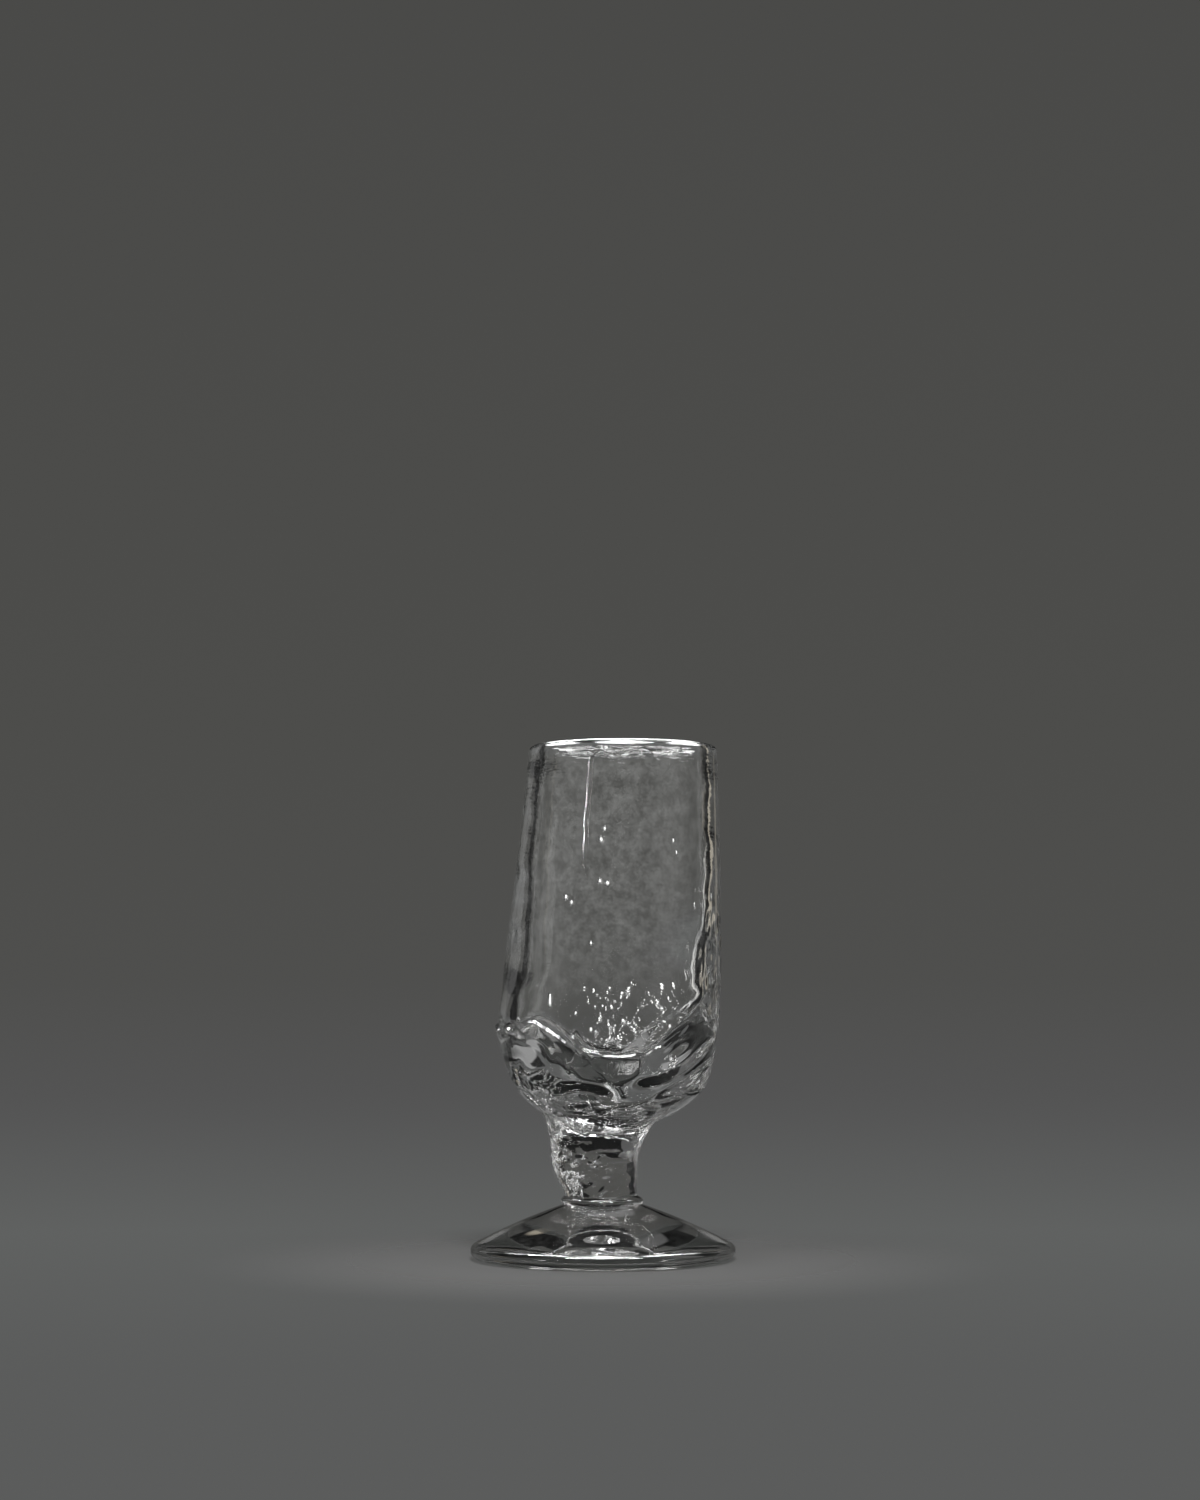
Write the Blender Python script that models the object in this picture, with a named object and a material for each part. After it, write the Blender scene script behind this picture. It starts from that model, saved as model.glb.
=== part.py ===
"""Hand-blown clear glass goblet: bowl, base gather, stem, stem collar and foot.

Standalone Blender script. Units are metres, +Z is up, and the origin is the middle of the foot's
underside. The photographed side faces -Y. Each piece is one closed loft of rings that runs from a
pole on its underside, up its outer face, to a pole on its top or inner face.
"""
import math

import bmesh
import bpy
from mathutils import Vector

# Overall height, and the clearance left at every seam where two gathers of glass were joined hot
GOBLET_HEIGHT = 0.155
SEAM_GAP = 0.0003

# Foot: a solid cone with a thick rounded edge, standing on a flat ring round a shallow hollow
FOOT_DIAMETER = 0.080
FOOT_HEIGHT = 0.0162
FOOT_EDGE_THICKNESS = 0.0050
FOOT_TOP_DIAMETER = 0.0250
FOOT_CROWN = 0.0006
FOOT_EDGE_INSET = 0.0040
STANDING_RING_WIDTH = 0.0140
FOOT_HOLLOW_DEPTH = 0.0010

# Collar: the bead of glass between the foot and the stem
COLLAR_DIAMETER = 0.0244
COLLAR_HEIGHT = 0.0024

# Stem: a short solid gather that sways to one side and flares under the bowl
STEM_HEIGHT = 0.0235
STEM_BOTTOM_DIAMETER = 0.0222
STEM_TOP_DIAMETER = 0.0336
STEM_FLARE_POWER = 1.4
STEM_SWAY = 0.0024
STEM_BEND_POWER = 3.0
STEM_LUMP = 0.0004
STEM_LUMP_COUNT = 3

# Outer form of the gather and the bowl, which share one skin
BELLY_DIAMETER = 0.0664
BELLY_DEPTH = 0.0270
BELLY_FULLNESS = 2.4
BELLY_OFFSET = 0.0016
RIM_DIAMETER = 0.0576
RIM_OFFSET = 0.0062
TAPER_POWER = 1.4

# Base gather: the second gather of glass, wrapped round the bottom of the bowl
GATHER_BASE_THICKNESS = 0.0046
GATHER_EDGE_THICKNESS = 0.0008
GATHER_LUMP = 0.0004
GATHER_LUMP_COUNT = 5

# Bowl wall and its dished floor, whose lip rises in lobes
WALL_THICKNESS = 0.0044
WALL_WAVE = 0.0003
WALL_WAVE_PITCH = 0.0160
FLOOR_THICKNESS = 0.0075
FLOOR_DISH = 0.0060
FLOOR_DISH_POWER = 2.2

# Lobes of the lip: direction in degrees from +X, rise above the lowest lip, half width in degrees
LIP_LOBES = (
    (-14.0, 0.0135, 32.0),
    (62.0, 0.0060, 26.0),
    (118.0, 0.0080, 24.0),
    (178.0, 0.0090, 20.0),
    (-133.0, 0.0100, 22.0),
)

# Thick and thin places in the wall: direction, height above the belly, added thickness,
# half width in degrees, half height
WALL_SWELLS = (
    (180.0, 0.0240, 0.0030, 46.0, 0.0080),
    (0.0, 0.0190, 0.0024, 42.0, 0.0130),
    (184.0, 0.0050, -0.0014, 30.0, 0.0070),
)

# Mesh fineness
SEGMENTS = 48
SEAT_RINGS = 3
FOOT_EDGE_RINGS = 8
FOOT_CONE_RINGS = 6
COLLAR_RINGS = 8
STEM_RINGS = 10
DOME_RINGS = 9
GATHER_RING_SPREAD = 1.5
WALL_RINGS = 11
LIP_RINGS = 6
FLOOR_RINGS = 8
SHARP_EDGE_ANGLE = math.radians(40.0)

# Levels of the stacked pieces
COLLAR_BOTTOM = FOOT_HEIGHT + SEAM_GAP
COLLAR_TOP = COLLAR_BOTTOM + COLLAR_HEIGHT
STEM_BOTTOM = COLLAR_TOP + SEAM_GAP
STEM_TOP = STEM_BOTTOM + STEM_HEIGHT
GATHER_BOTTOM = STEM_TOP + SEAM_GAP
BOWL_BOTTOM = GATHER_BOTTOM + GATHER_BASE_THICKNESS + SEAM_GAP
FLOOR_LEVEL = BOWL_BOTTOM + FLOOR_THICKNESS
LIP_LEVEL = FLOOR_LEVEL + FLOOR_DISH


def superellipse(half_width, depth, drop):
    """Radius of the rounded bottom of a bowl at a given drop below its widest level."""
    share = min(max(drop / depth, 0.0), 1.0)
    return half_width * (1.0 - share ** BELLY_FULLNESS) ** (1.0 / BELLY_FULLNESS)


def seat_drop():
    """Drop below the belly at which the outer form is as wide as the top of the stem."""
    share = STEM_TOP_DIAMETER / BELLY_DIAMETER
    return BELLY_DEPTH * (1.0 - share ** BELLY_FULLNESS) ** (1.0 / BELLY_FULLNESS)


BELLY_LEVEL = GATHER_BOTTOM + seat_drop()
RIM_RISE = GOBLET_HEIGHT - BELLY_LEVEL


def angle_between(first, second):
    """Smallest difference of two directions in degrees."""
    return abs((first - second + 180.0) % 360.0 - 180.0)


def bell(distance, half_width):
    """A smooth bump, 1 in its middle."""
    return math.exp(-0.5 * (distance / half_width) ** 2)


def axis_offset(level):
    """How far the leaning axis of the bowl stands to +X at a level."""
    rise = max(level - BELLY_LEVEL, 0.0) / RIM_RISE
    return BELLY_OFFSET + (RIM_OFFSET - BELLY_OFFSET) * rise


def outer_radius(level):
    """Outer form of the gather and the bowl."""
    if level < BELLY_LEVEL:
        return superellipse(BELLY_DIAMETER / 2, BELLY_DEPTH, BELLY_LEVEL - level)
    rise = (level - BELLY_LEVEL) / RIM_RISE
    return BELLY_DIAMETER / 2 + (RIM_DIAMETER - BELLY_DIAMETER) / 2 * rise ** TAPER_POWER


def dome_radius(level, clearance):
    """Skin of the bowl's bottom, which the gather covers, or the gather's face against it."""
    inset = GATHER_EDGE_THICKNESS + SEAM_GAP - clearance
    if level >= BELLY_LEVEL:
        return outer_radius(level) - inset
    depth = BELLY_LEVEL - BOWL_BOTTOM + clearance
    return superellipse(BELLY_DIAMETER / 2 - inset, depth, BELLY_LEVEL - level)


def lip_level(direction):
    """Height of the lobed lip, round the bowl's floor and along the gather's edge."""
    lobes = (rise * bell(angle_between(direction, middle), width) for middle, rise, width in LIP_LOBES)
    return LIP_LEVEL + max(lobes)


def bore_radius(level, direction):
    """Inner face of the bowl's wall."""
    wall = WALL_THICKNESS
    wall += WALL_WAVE * math.sin(2 * math.pi * level / WALL_WAVE_PITCH + 2 * math.radians(direction))
    for middle, rise, added, width, height in WALL_SWELLS:
        across = bell(angle_between(direction, middle), width)
        wall += added * across * bell(level - BELLY_LEVEL - rise, height)
    return outer_radius(level) - wall


def directions():
    """The segment directions in degrees."""
    return [360.0 * index / SEGMENTS for index in range(SEGMENTS)]


def ring(radius_at, level_at, offset_at):
    """One ring of points from functions of the direction, or of the level for the offset."""
    points = []
    for direction in directions():
        level = level_at(direction)
        radius = radius_at(direction, level)
        angle = math.radians(direction)
        points.append(Vector((offset_at(level) + radius * math.cos(angle), radius * math.sin(angle), level)))
    return points


def round_ring(radius, level, offset=0.0):
    """One level circle of points."""
    return ring(lambda direction, height: radius, lambda direction: level, lambda height: offset)


def seat_rings(radius, level, offset=0.0):
    """Rings that fill a flat round face from its middle out, without its middle and its edge."""
    return [round_ring(radius * index / SEAT_RINGS, level, offset) for index in range(1, SEAT_RINGS)]


def middle_of(points):
    return sum(points, Vector()) / len(points)


def loft(rings):
    """Closed mesh through rings, with a pole in the middle of the first ring and of the last one."""
    mesh = bmesh.new()
    loops = [[mesh.verts.new(point) for point in points] for points in rings]
    first_pole = mesh.verts.new(middle_of(rings[0]))
    last_pole = mesh.verts.new(middle_of(rings[-1]))
    for index in range(SEGMENTS):
        following = (index + 1) % SEGMENTS
        mesh.faces.new((first_pole, loops[0][following], loops[0][index]))
        for lower, upper in zip(loops, loops[1:]):
            mesh.faces.new((lower[index], lower[following], upper[following], upper[index]))
        mesh.faces.new((loops[-1][index], loops[-1][following], last_pole))
    return mesh


def add_piece(name, rings, base_level, material, parent):
    """Object from a loft, with its own origin on the axis at the bottom of the piece."""
    base = Vector((0.0, 0.0, base_level))
    mesh = loft([[point - base for point in points] for points in rings])
    data = bpy.data.meshes.new(name)
    mesh.to_mesh(data)
    mesh.free()
    data.materials.append(material)
    data.shade_smooth()
    data.set_sharp_from_angle(angle=SHARP_EDGE_ANGLE)
    piece = bpy.data.objects.new(name, data)
    piece.location = base
    piece.parent = parent
    bpy.context.collection.objects.link(piece)
    return piece


def clear_glass(name, colour, roughness):
    """Colourless glass with the faint tint of one piece."""
    material = bpy.data.materials.new(name)
    material.use_nodes = True
    shader = material.node_tree.nodes["Principled BSDF"]
    shader.inputs["Base Color"].default_value = (*colour, 1.0)
    shader.inputs["Roughness"].default_value = roughness
    shader.inputs["Metallic"].default_value = 0.0
    shader.inputs["IOR"].default_value = 1.5
    shader.inputs["Transmission Weight"].default_value = 1.0
    material.diffuse_color = (*colour, 1.0)
    return material


def foot_rings():
    """Hollow, standing ring, rounded edge, cone and the flat seat for the collar."""
    edge = FOOT_EDGE_THICKNESS / 2
    stand_radius = FOOT_DIAMETER / 2 - FOOT_EDGE_INSET
    hollow_radius = stand_radius - STANDING_RING_WIDTH
    rings = []
    for index in range(1, SEAT_RINGS + 1):
        share = index / SEAT_RINGS
        rings.append(round_ring(hollow_radius * share, FOOT_HOLLOW_DEPTH * (1.0 - share ** 2)))
    rings.append(round_ring(stand_radius, 0.0))
    for index in range(1, FOOT_EDGE_RINGS + 1):
        angle = math.pi / 2 * index / FOOT_EDGE_RINGS
        radius = stand_radius + FOOT_EDGE_INSET * math.sin(angle)
        rings.append(round_ring(radius, edge * (1.0 - math.cos(angle))))
    shoulder_radius = FOOT_DIAMETER / 2 - edge * (1.0 - math.cos(math.pi / 4))
    shoulder_level = edge * (1.0 + math.sin(math.pi / 4))
    rings.append(round_ring(shoulder_radius, shoulder_level))
    top_radius = FOOT_TOP_DIAMETER / 2
    for index in range(1, FOOT_CONE_RINGS + 1):
        share = index / FOOT_CONE_RINGS
        radius = shoulder_radius + (top_radius - shoulder_radius) * share
        level = shoulder_level + (FOOT_HEIGHT - shoulder_level) * share
        rings.append(round_ring(radius, level + FOOT_CROWN * math.sin(math.pi * share)))
    rings += reversed(seat_rings(top_radius, FOOT_HEIGHT))
    return rings


def collar_rings():
    """A flat bead with a half-round edge."""
    edge = COLLAR_HEIGHT / 2
    flat_radius = COLLAR_DIAMETER / 2 - edge
    rings = seat_rings(flat_radius, COLLAR_BOTTOM)
    for index in range(COLLAR_RINGS + 1):
        angle = math.pi * index / COLLAR_RINGS
        level = COLLAR_BOTTOM + edge * (1.0 - math.cos(angle))
        rings.append(round_ring(flat_radius + edge * math.sin(angle), level))
    rings += reversed(seat_rings(flat_radius, COLLAR_TOP))
    return rings


def stem_offset(level):
    """Sway of the stem, from the foot's axis to the middle of the gather."""
    share = (level - STEM_BOTTOM) / STEM_HEIGHT
    return BELLY_OFFSET * share ** STEM_BEND_POWER - STEM_SWAY * math.sin(math.pi * share)


def stem_radius(direction, level):
    """Flared stem with soft lumps that twist up it."""
    share = (level - STEM_BOTTOM) / STEM_HEIGHT
    spread = (STEM_TOP_DIAMETER - STEM_BOTTOM_DIAMETER) / 2
    radius = STEM_BOTTOM_DIAMETER / 2 + spread * share ** STEM_FLARE_POWER
    lump = STEM_LUMP * math.sin(math.pi * share)
    return radius + lump * math.cos(STEM_LUMP_COUNT * math.radians(direction) + math.pi * share)


def stem_rings():
    """Seat on the collar, flared side and seat under the gather."""
    rings = seat_rings(STEM_BOTTOM_DIAMETER / 2, STEM_BOTTOM)
    for index in range(STEM_RINGS + 1):
        level = STEM_BOTTOM + STEM_HEIGHT * index / STEM_RINGS
        rings.append(ring(stem_radius, lambda direction: level, stem_offset))
    rings += reversed(seat_rings(STEM_TOP_DIAMETER / 2, STEM_TOP, BELLY_OFFSET))
    return rings


def dome_shares():
    """Steps from the bottom of the dome to its edge, close together where it is flattest."""
    steps = (math.pi / 2 * index / DOME_RINGS for index in range(1, DOME_RINGS + 1))
    return [1.0 - math.cos(step) for step in steps]


def dome_rings(bottom, edge_clearance, skin_clearance):
    """Rings up the bottom of the bowl to the lobed edge, or up the gather's face against it."""
    rings = []
    for share in dome_shares():
        rings.append(ring(
            lambda direction, level: dome_radius(level, skin_clearance),
            lambda direction: bottom + (lip_level(direction) - edge_clearance - bottom) * share,
            axis_offset,
        ))
    return rings


def gather_skin(direction, level):
    """Outer face of the gather, with soft lumps below its edge."""
    share = min(max((level - GATHER_BOTTOM) / (LIP_LEVEL - GATHER_BOTTOM), 0.0), 1.0)
    lump = GATHER_LUMP * math.sin(math.pi * share)
    return outer_radius(level) + lump * math.cos(GATHER_LUMP_COUNT * math.radians(direction))


def gather_rings():
    """Seat on the stem, lumpy outer face, thin lobed edge and the hollow for the bowl."""
    rings = seat_rings(STEM_TOP_DIAMETER / 2, GATHER_BOTTOM, BELLY_OFFSET)
    for index in range(DOME_RINGS + 1):
        share = (index / DOME_RINGS) ** GATHER_RING_SPREAD
        rings.append(ring(
            gather_skin,
            lambda direction: GATHER_BOTTOM + (lip_level(direction) - SEAM_GAP - GATHER_BOTTOM) * share,
            axis_offset,
        ))
    rings += reversed(dome_rings(BOWL_BOTTOM - SEAM_GAP, SEAM_GAP, SEAM_GAP))
    return rings


def wall_level(direction, share):
    """Height up the wall from just over the lobed edge to the start of the rounded rim."""
    start = lip_level(direction) + SEAM_GAP
    return start + (GOBLET_HEIGHT - WALL_THICKNESS / 2 - start) * share


def rim_rings():
    """Half-round rim from the outer face of the wall to the bore."""
    spring = GOBLET_HEIGHT - WALL_THICKNESS / 2

    def across(turn):
        def radius_at(direction, level):
            outer = outer_radius(spring)
            inner = bore_radius(spring, direction)
            return (outer + inner) / 2 + (outer - inner) / 2 * math.cos(turn)
        return radius_at

    rings = []
    for index in range(1, LIP_RINGS):
        turn = math.pi * index / LIP_RINGS
        level = spring + WALL_THICKNESS / 2 * math.sin(turn)
        rings.append(ring(across(turn), lambda direction: level, lambda height: axis_offset(spring)))
    return rings


def bowl_rings():
    """Domed bottom, outer wall, rounded rim, bore and dished floor."""
    rings = dome_rings(BOWL_BOTTOM, 0.0, 0.0)
    shares = [index / WALL_RINGS for index in range(WALL_RINGS + 1)]
    for share in shares:
        rings.append(ring(
            lambda direction, level: outer_radius(level),
            lambda direction: wall_level(direction, share),
            axis_offset,
        ))
    rings += rim_rings()
    for share in reversed(shares):
        rings.append(ring(
            lambda direction, level: bore_radius(level, direction),
            lambda direction: wall_level(direction, share),
            axis_offset,
        ))
    for index in range(FLOOR_RINGS - 1, 0, -1):
        share = index / FLOOR_RINGS
        rings.append(ring(
            lambda direction, level: share * bore_radius(lip_level(direction), direction),
            lambda direction: FLOOR_LEVEL + (lip_level(direction) - FLOOR_LEVEL) * share ** FLOOR_DISH_POWER,
            lambda height: BELLY_OFFSET,
        ))
    return rings


def build_goblet():
    for old in list(bpy.data.objects):
        bpy.data.objects.remove(old, do_unlink=True)
    goblet = bpy.data.objects.new("goblet", None)
    bpy.context.collection.objects.link(goblet)
    pieces = (
        ("foot", foot_rings(), 0.0, clear_glass("foot_glass", (0.95, 0.96, 0.95), 0.02)),
        ("stem_collar", collar_rings(), COLLAR_BOTTOM, clear_glass("collar_glass", (0.94, 0.95, 0.94), 0.03)),
        ("stem", stem_rings(), STEM_BOTTOM, clear_glass("stem_glass", (0.94, 0.95, 0.94), 0.04)),
        ("base_gather", gather_rings(), GATHER_BOTTOM, clear_glass("gather_glass", (0.95, 0.96, 0.95), 0.03)),
        ("bowl", bowl_rings(), BOWL_BOTTOM, clear_glass("bowl_glass", (0.96, 0.97, 0.96), 0.01)),
    )
    for name, rings, base_level, material in pieces:
        add_piece(name, rings, base_level, material, goblet)


build_goblet()
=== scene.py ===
"""Looks of the hand-blown clear glass goblet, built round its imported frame.

Five pieces of glass stand in for the five CAD nodes. Neighbours share one seam ring, and the seam
faces inside the glass are fully clear, so light passes from gather to gather as it does in fused glass.
Air seeds are closed shells that face inwards, inside the mesh of the piece that holds them.
Lengths are in metres. Directions round the goblet are in degrees, from +X towards +Y.
"""
import math

import bmesh
import bpy
import numpy as np
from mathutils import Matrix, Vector


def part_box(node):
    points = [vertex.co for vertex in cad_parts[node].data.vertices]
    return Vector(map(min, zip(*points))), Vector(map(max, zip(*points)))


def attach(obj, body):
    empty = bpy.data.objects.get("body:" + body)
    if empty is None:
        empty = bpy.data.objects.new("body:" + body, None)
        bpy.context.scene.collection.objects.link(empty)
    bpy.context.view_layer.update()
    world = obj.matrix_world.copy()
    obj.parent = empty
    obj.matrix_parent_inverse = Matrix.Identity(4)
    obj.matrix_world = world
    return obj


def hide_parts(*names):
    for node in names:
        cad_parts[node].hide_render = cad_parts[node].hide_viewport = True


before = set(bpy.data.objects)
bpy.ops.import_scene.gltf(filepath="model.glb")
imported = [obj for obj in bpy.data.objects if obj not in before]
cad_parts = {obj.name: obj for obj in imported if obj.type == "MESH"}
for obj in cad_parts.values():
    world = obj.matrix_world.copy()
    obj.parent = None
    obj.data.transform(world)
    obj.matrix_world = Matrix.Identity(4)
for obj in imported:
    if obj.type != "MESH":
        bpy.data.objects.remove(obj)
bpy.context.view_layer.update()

# Camera of the photograph, solved for its 1200 x 1500 frame
FRAME_HEIGHT_PX = 1500
FOCAL_PX = 2840.0
SENSOR_WIDTH_MM = 36.0
CAMERA_PLACE = (-0.0009, -0.865, 0.084)
CAMERA_PITCH = math.radians(4.61)
CLIP_START = 0.01
CLIP_END = 20.0

# Levels and radii taken from the frame
_, foot_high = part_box("foot")
collar_low, collar_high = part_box("stem_collar")
stem_low, stem_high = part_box("stem")
gather_low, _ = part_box("base_gather")
bowl_low, bowl_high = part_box("bowl")
FOOT_RADIUS = foot_high.x
FOOT_SEAM = (foot_high.z + collar_low.z) / 2
COLLAR_SEAM = (collar_high.z + stem_low.z) / 2
STEM_SEAM = (stem_high.z + gather_low.z) / 2
DOME_BOTTOM = bowl_low.z
RIM_LEVEL = bowl_high.z

# Outer skin from the stem's bottom to the rim: level, offset of its middle to +X, radius
SKIN_POINTS = (
    (COLLAR_SEAM, -0.0006, 0.0108),
    (0.0243, -0.0017, 0.0119),
    (0.0300, -0.0023, 0.0127),
    (0.0343, -0.0019, 0.0136),
    (0.0385, -0.0014, 0.0150),
    (0.0410, -0.0003, 0.0168),
    (0.0430, 0.0014, 0.0193),
    (0.0456, 0.0020, 0.0230),
    (0.0502, 0.0021, 0.0280),
    (0.0563, 0.0018, 0.0308),
    (0.0640, 0.0014, 0.0325),
    (0.0720, 0.0015, 0.0331),
    (0.0806, 0.0024, 0.0331),
    (0.0930, 0.0031, 0.0326),
    (0.1170, 0.0046, 0.0312),
    (0.1520, 0.0061, 0.0289),
    (RIM_LEVEL, 0.0062, 0.0287),
)
SKIN_STEPS = 64
BELLY_RADIUS = 0.0330

# Soft lumps of the skin: height on the wall, height added on the gather and level where that has faded out
WALL_LUMP = 0.00004
GATHER_LUMP = 0.00012
GATHER_LUMP_TOP = 0.080
GATHER_LUMP_FADE = 0.012
LUMP_SIZE = 0.015
# Finer lumps: height, feature size
FINE_LUMPS = ((0.000025, 0.0048), (0.000016, 0.0021))
# Heights over which the relief sets in above the stem and dies out below the rim
RELIEF_START = 0.004
RELIEF_STOP = 0.010

# Dished floor of the bowl, which follows the lip's own steps at the wall and softened ones further in
FLOOR_THICKNESS = 0.0075
FLOOR_LEVEL = DOME_BOTTOM + FLOOR_THICKNESS
FLOOR_MIDDLE_X = 0.0045
FLOOR_RADIUS = 0.028
FLOOR_FILLET = 0.0025
FLOOR_DISH_POWER = 2.0
FLOOR_LIP_POWER = 6
FLOOR_LIP_SPREAD = 14.0

# Lip of the floor, which is also the edge of the base gather
LIP_RISE = 0.0060
LIP_LEVEL = FLOOR_LEVEL + LIP_RISE
# Lobes of the lip: direction, rise, half width
LIP_LOBES = (
    (-27.0, 0.0136, 18.0),
    (2.0, 0.0132, 22.0),
    (50.0, 0.0050, 14.0),
    (130.0, 0.0050, 14.0),
    (180.0, 0.0091, 18.0),
    (-156.0, 0.0078, 16.0),
    (-133.0, 0.0100, 16.0),
    (-108.5, 0.0057, 3.2),
    (-62.0, 0.0030, 5.0),
)

# Ledge along the gather's edge, and the stretch of finer rows on either side of it
LEDGE_DEPTH = 0.0011
LEDGE_HEIGHT = 0.0011
LEDGE_FADE = 0.0060
LEDGE_ZONE = 0.0016
# Wiggles of the ledge: height, feature size
LEDGE_WIGGLES = ((0.00060, 0.0042), (0.00030, 0.0016))
# The ledge all but melts away on one side: direction, half width, share lost
LEDGE_MELT = (-42.0, 24.0, 0.85)

# Wall of the bowl
WALL_THICKNESS = 0.0044
RIM_SPRING = RIM_LEVEL - WALL_THICKNESS / 2
BORE_LUMP = 0.00004
BORE_LUMP_SIZE = 0.011
# Waves of the wall's thickness: height, pitch up the wall, waves round it
WALL_WAVES = ((0.00012, 0.0210, 2), (0.00005, 0.0090, 3))
# Sides that have these waves: direction, half width
WAVE_SIDES = ((180.0, 30.0), (0.0, 30.0))
# Where the wall is thicker: direction, level, added, half width in degrees, fade up, fade down
WALL_SWELLS = (
    (180.0, 0.0930, 0.0014, 32.0, 0.0130, 0.0090),
    (0.0, 0.0850, 0.0018, 38.0, 0.0100, 0.0130),
)

# Ringed lenses in the front of the base gather: place in X, level, pitch of their rings across and up,
# tilt in degrees, height of the rings, reach in rings
LENSES = (
    (-0.0205, 0.0610, 0.0068, 0.0098, -20.0, 0.00018, 1.3),
    (0.0215, 0.0640, 0.0120, 0.0050, 35.0, -0.00050, 1.3),
    (-0.0064, 0.0480, 0.0130, 0.0070, 0.0, -0.00070, 0.45),
)
LENS_FRONT_FADE = 0.006

# Crinkled stretches of the skin: direction, half width, level, half height, depth, feature size, stretch
CRINKLES = (
    (178.0, 36.0, 0.0320, 0.0080, 0.00080, 0.0026, 1.0),
    (-132.0, 16.0, 0.0225, 0.0030, 0.00045, 0.0018, 1.0),
    (-122.0, 13.0, 0.0310, 0.0016, 0.00040, 0.0018, 1.0),
    (-98.0, 13.0, 0.0290, 0.0014, 0.00040, 0.0018, 1.0),
    (80.0, 40.0, 0.0300, 0.0080, 0.00020, 0.0026, 1.0),
    (-8.0, 20.0, 0.0350, 0.0040, 0.00045, 0.0022, 1.0),
    (-90.0, 300.0, 0.0418, 0.0012, 0.00030, 0.0020, 1.0),
    (-150.0, 20.0, 0.0485, 0.0035, 0.00022, 0.0022, 1.0),
    (70.0, 20.0, 0.0710, 0.0060, 0.00018, 0.0024, 1.0),
    (-4.0, 12.0, 0.0870, 0.0140, 0.00050, 0.0026, 1.4),
)
# Depth of the crinkles at half the feature size, as a share, and height over which they set in
CRINKLE_FINE_SHARE = 0.35
CRINKLE_START = 0.0015
# Single creases pressed into the skin: direction, half width, level, half height, depth, rise per degree
CREASES = (
    (-76.0, 9.0, 0.0258, 0.0007, 0.00035, 0.00003),
    (-86.0, 9.0, 0.0208, 0.0007, 0.00035, 0.00015),
)

# Seeds: balls under the small radius have fewer faces, and small sizes are drawn more often than large ones
SMALL_SEED = 0.0007
SMALL_BALL = 2
LARGE_BALL = 3
SEED_SIZE_POWER = 2
ROUND = (1.0, 1.0, 1.0)
DRAWN_OUT = (0.8, 0.8, 1.8)
# Least glass between a seed and the skin of the stem or gather, or the two faces of the wall
STEM_SEED_COVER = 0.0006
GATHER_SEED_COVER = 0.0010
WALL_SEED_COVER_INSIDE = 0.0003
WALL_SEED_COVER_OUTSIDE = 0.0004
# Patches of seeds: random seed, count, lowest corner, highest corner, least and largest radius, stretch
STEM_PATCHES = (
    (21, 150, (-0.0130, -0.0110, 0.0185), (-0.0055, -0.0040, 0.0268), (0.00022, 0.00055), ROUND),
    (22, 90, (-0.0165, -0.0110, 0.0260), (-0.0100, 0.0040, 0.0425), (0.00020, 0.00065), ROUND),
    (23, 50, (0.0080, -0.0090, 0.0295), (0.0150, 0.0060, 0.0425), (0.00020, 0.00065), ROUND),
    (24, 40, (-0.0160, -0.0180, 0.0400), (0.0180, -0.0040, 0.0430), (0.00020, 0.00065), ROUND),
    (25, 30, (-0.0110, -0.0120, 0.0280), (0.0000, -0.0060, 0.0320), (0.00022, 0.00055), ROUND),
)
GATHER_PATCHES = (
    (41, 14, (-0.006, -0.020, 0.0465), (0.003, -0.015, 0.0515), (0.0002, 0.0005), ROUND),
    (42, 24, (-0.022, -0.014, 0.0465), (-0.013, -0.006, 0.0505), (0.0002, 0.0006), ROUND),
    (43, 18, (0.015, -0.026, 0.0550), (0.025, -0.020, 0.0610), (0.0003, 0.0009), ROUND),
)
# In the back of the bowl's wall, and drawn-out ones at the right
WALL_PATCHES = (
    (31, 120, (-0.008, 0.018, 0.0605), (0.027, 0.034, 0.0830), (0.0003, 0.0012), ROUND),
    (33, 50, (-0.002, 0.018, 0.0605), (0.014, 0.034, 0.0720), (0.0003, 0.0008), ROUND),
    (34, 40, (-0.004, 0.018, 0.0640), (0.022, 0.034, 0.0800), (0.0003, 0.0006), ROUND),
    (32, 30, (0.026, -0.014, 0.0680), (0.036, 0.014, 0.1180), (0.0003, 0.0008), DRAWN_OUT),
)
# Single seeds in the front wall: place in X, level, radius, height over width
FRONT_SEEDS = (
    (0.0006, 0.1282, 0.0008, 1.3),
    (-0.0004, 0.1250, 0.0010, 1.3),
    (-0.0008, 0.1126, 0.0009, 1.1),
    (0.0014, 0.1120, 0.0010, 1.1),
    (-0.0106, 0.1080, 0.0009, 1.2),
    (-0.0090, 0.1064, 0.0008, 1.2),
    (-0.0034, 0.0944, 0.0007, 1.1),
    (-0.0152, 0.0776, 0.0009, 2.6),
    (-0.0078, 0.0740, 0.0006, 1.2),
    (0.0204, 0.1248, 0.0006, 1.6),
    (0.0213, 0.1212, 0.0005, 1.6),
)

# Foot and collar
FOOT_TOP_RADIUS = 0.0124
FOOT_EDGE = 0.0025
FOOT_EDGE_INSET = 0.0040
FOOT_CROWN = 0.0006
FOOT_HOLLOW_RADIUS = 0.0215
FOOT_HOLLOW_DEPTH = 0.0010
COLLAR_BULGE = 0.0011
COLLAR_FOOT_RADIUS = 0.0117
_, COLLAR_TOP_OFFSET, COLLAR_TOP_RADIUS = SKIN_POINTS[0]

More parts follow.
